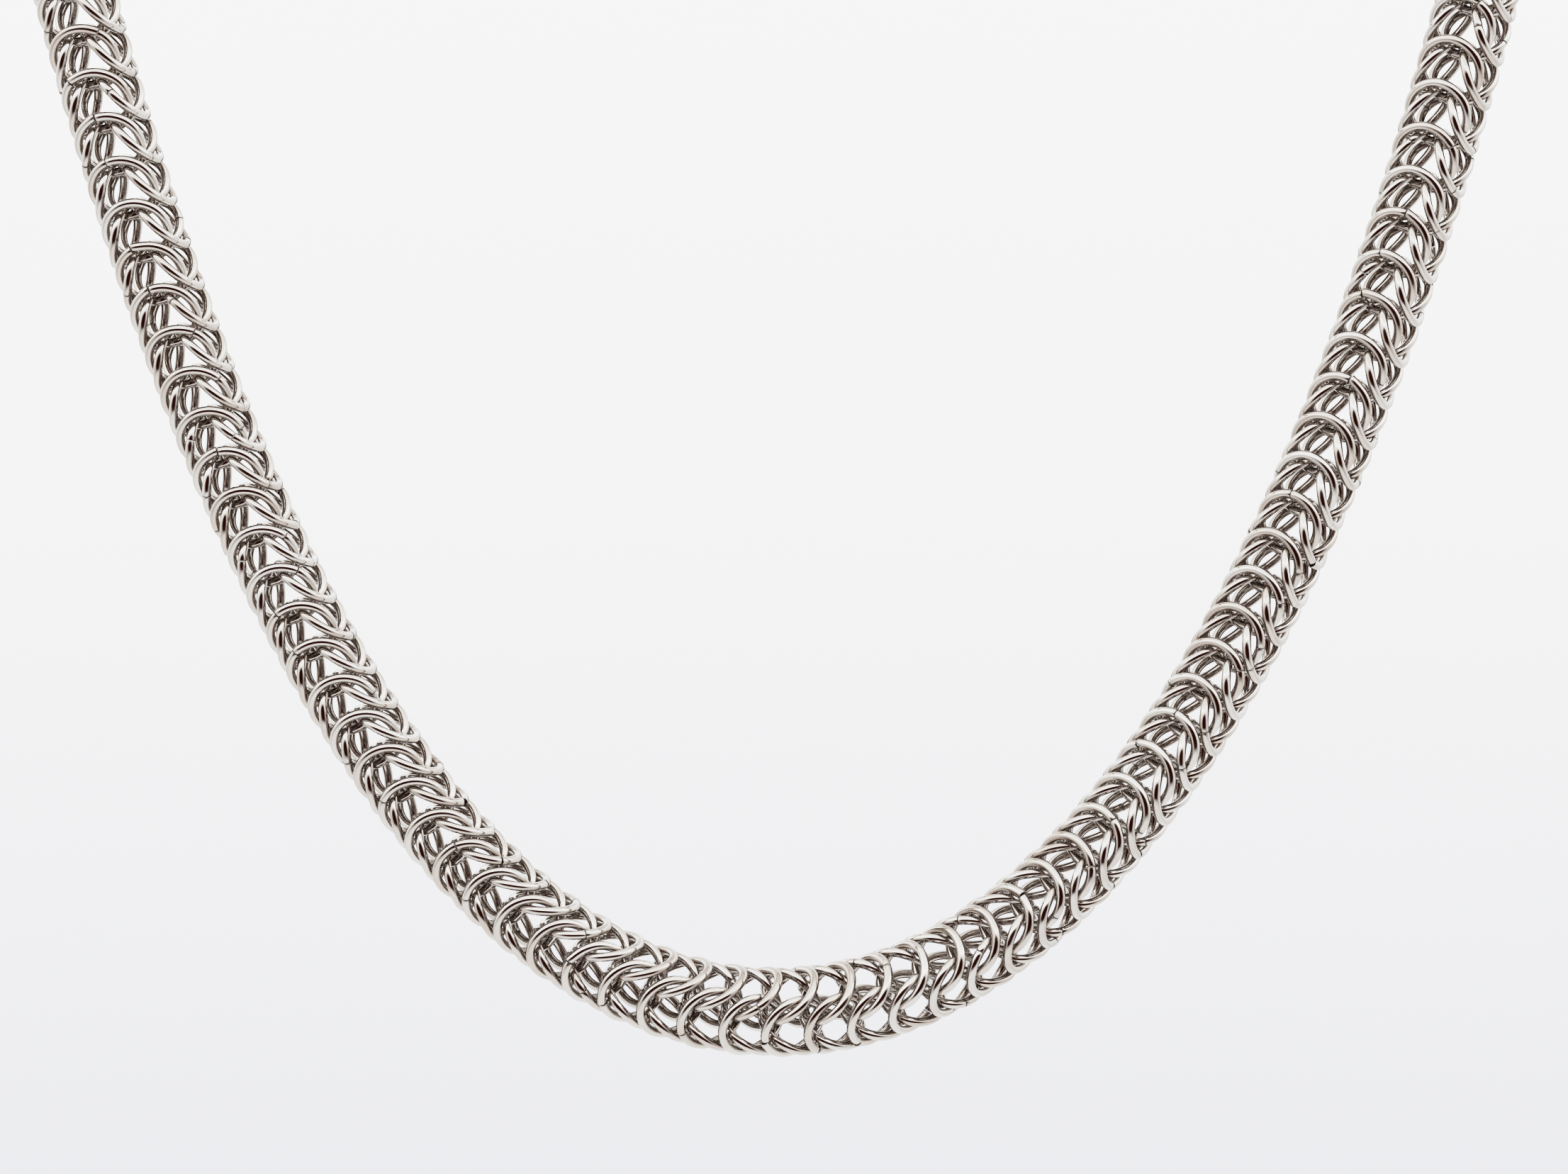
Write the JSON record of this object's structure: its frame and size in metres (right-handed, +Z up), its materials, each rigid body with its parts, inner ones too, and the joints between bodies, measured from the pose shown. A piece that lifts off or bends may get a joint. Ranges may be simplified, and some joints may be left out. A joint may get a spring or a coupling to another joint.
{
  "type": "box weave chain necklace",
  "caption": "Necklace of small linked round metal rings in a square box weave, draped as worn in an open loop and closed behind the neck by a plain barrel clasp.",
  "frame": {"origin": "the inner, neck-facing side of the clasp's barrel, where the necklace sits on the nape", "axes": "+X towards the side shown on the right in front, +Z up, -Y the front that is seen when worn"},
  "size_m": [0.1441, 0.0858, 0.14],
  "materials": {
    "steel": "polished stainless steel, slightly warm"
  },
  "bodies": {
    "root": {"front_middle": "steel", "front_low_left": "steel", "front_mid_left": "steel", "front_high_left": "steel", "shoulder_left": "steel", "neck_left": "steel", "nape_left": "steel", "front_low_right": "steel", "front_mid_right": "steel", "front_high_right": "steel", "shoulder_right": "steel", "neck_right": "steel", "nape_right": "steel", "clasp": "steel"}
  },
  "joints": []
}
